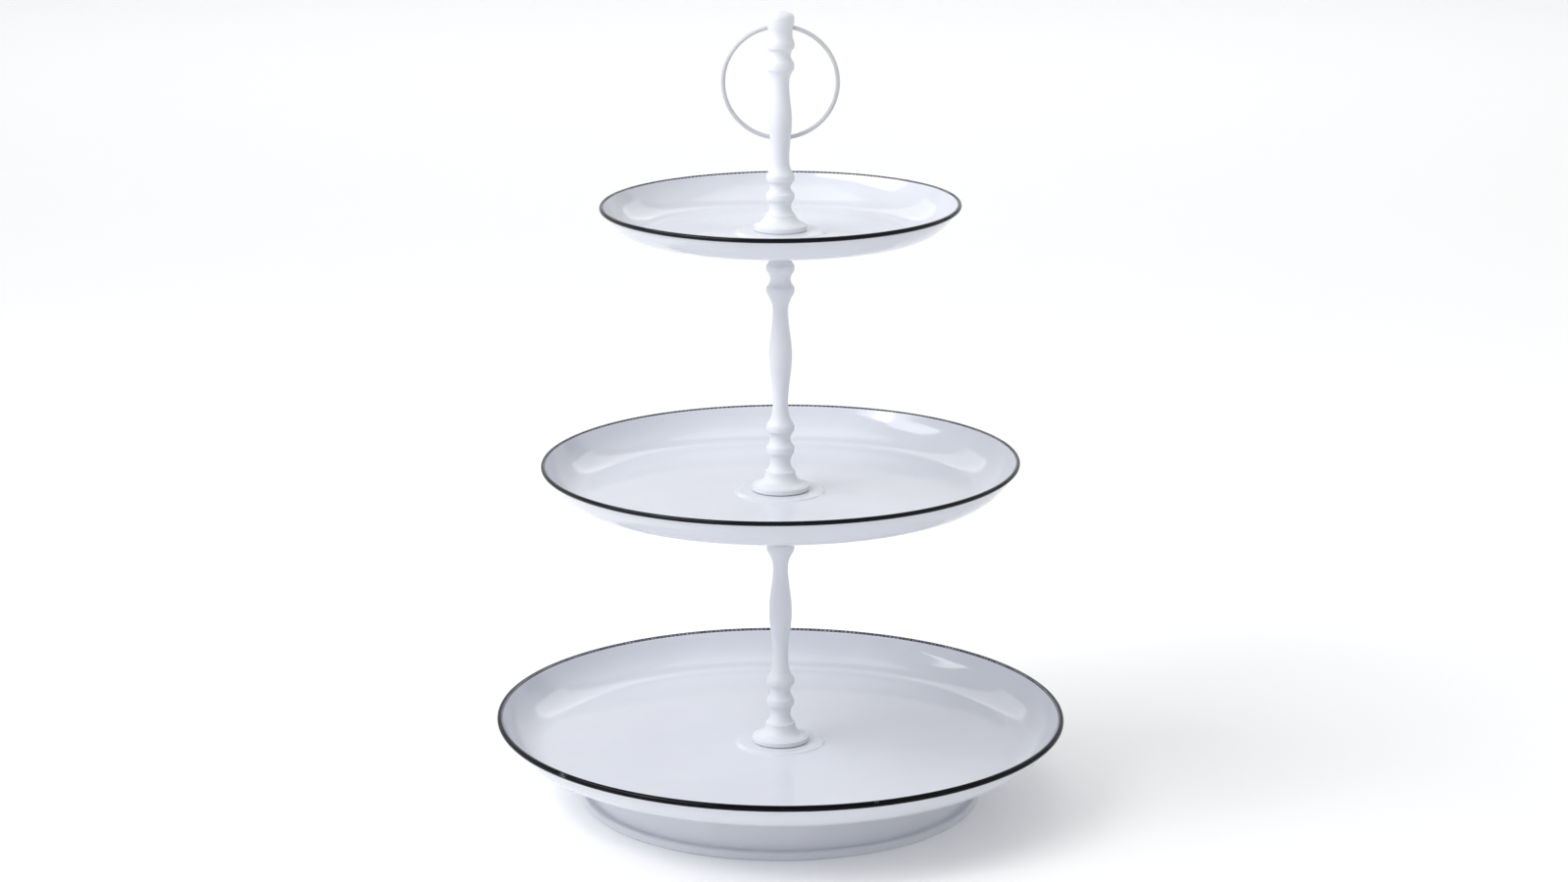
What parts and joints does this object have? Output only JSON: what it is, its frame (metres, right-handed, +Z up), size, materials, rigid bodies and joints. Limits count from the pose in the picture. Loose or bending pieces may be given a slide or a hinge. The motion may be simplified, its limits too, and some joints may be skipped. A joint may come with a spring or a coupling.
{
  "type": "tiered cake stand",
  "caption": "Tiered cake stand: round enamelled trays with black rims on turned posts, a ring foot, and a carry ring that swings in the handle's head.",
  "frame": {"origin": "on the table under the foot, on the stand's vertical axis", "axes": "+Z up along the posts, X along the carry ring's swing axis, -Y towards the front, so the carry ring leans to +Y at rest"},
  "size_m": [0.4061, 0.4062, 0.5651],
  "materials": {
    "white_enamel": "gloss vitreous enamel, cool white",
    "black_enamel": "gloss black enamel",
    "white_lacquer": "semi-gloss white coating",
    "plated_steel": "zinc plated",
    "soft_gasket": "pale soft plastic"
  },
  "bodies": {
    "stand": {"foot_ring": "white_enamel", "bottom_tray": "white_enamel", "middle_tray": "white_enamel", "top_tray": "white_enamel", "bottom_rim": "black_enamel", "middle_rim": "black_enamel", "top_rim": "black_enamel", "lower_post": "white_lacquer", "middle_post": "white_lacquer", "handle_post": "white_lacquer", "base_screw": "plated_steel", "base_spring_washer": "plated_steel", "base_washer": "plated_steel", "middle_stud": "plated_steel", "top_stud": "plated_steel", "bottom_gasket_upper": "soft_gasket", "bottom_gasket_lower": "soft_gasket", "middle_gasket_upper": "soft_gasket", "middle_gasket_lower": "soft_gasket", "top_gasket_upper": "soft_gasket", "top_gasket_lower": "soft_gasket"},
    "ring": {"carry_ring": "white_lacquer"}
  },
  "joints": [
    {"name": "ring_swing", "type": "hinge", "parent": "stand", "child": "ring", "pos_m": [0, 0, 0.5539], "axis": [1, 0, 0], "range_deg": [0, 346.9]}
  ]
}
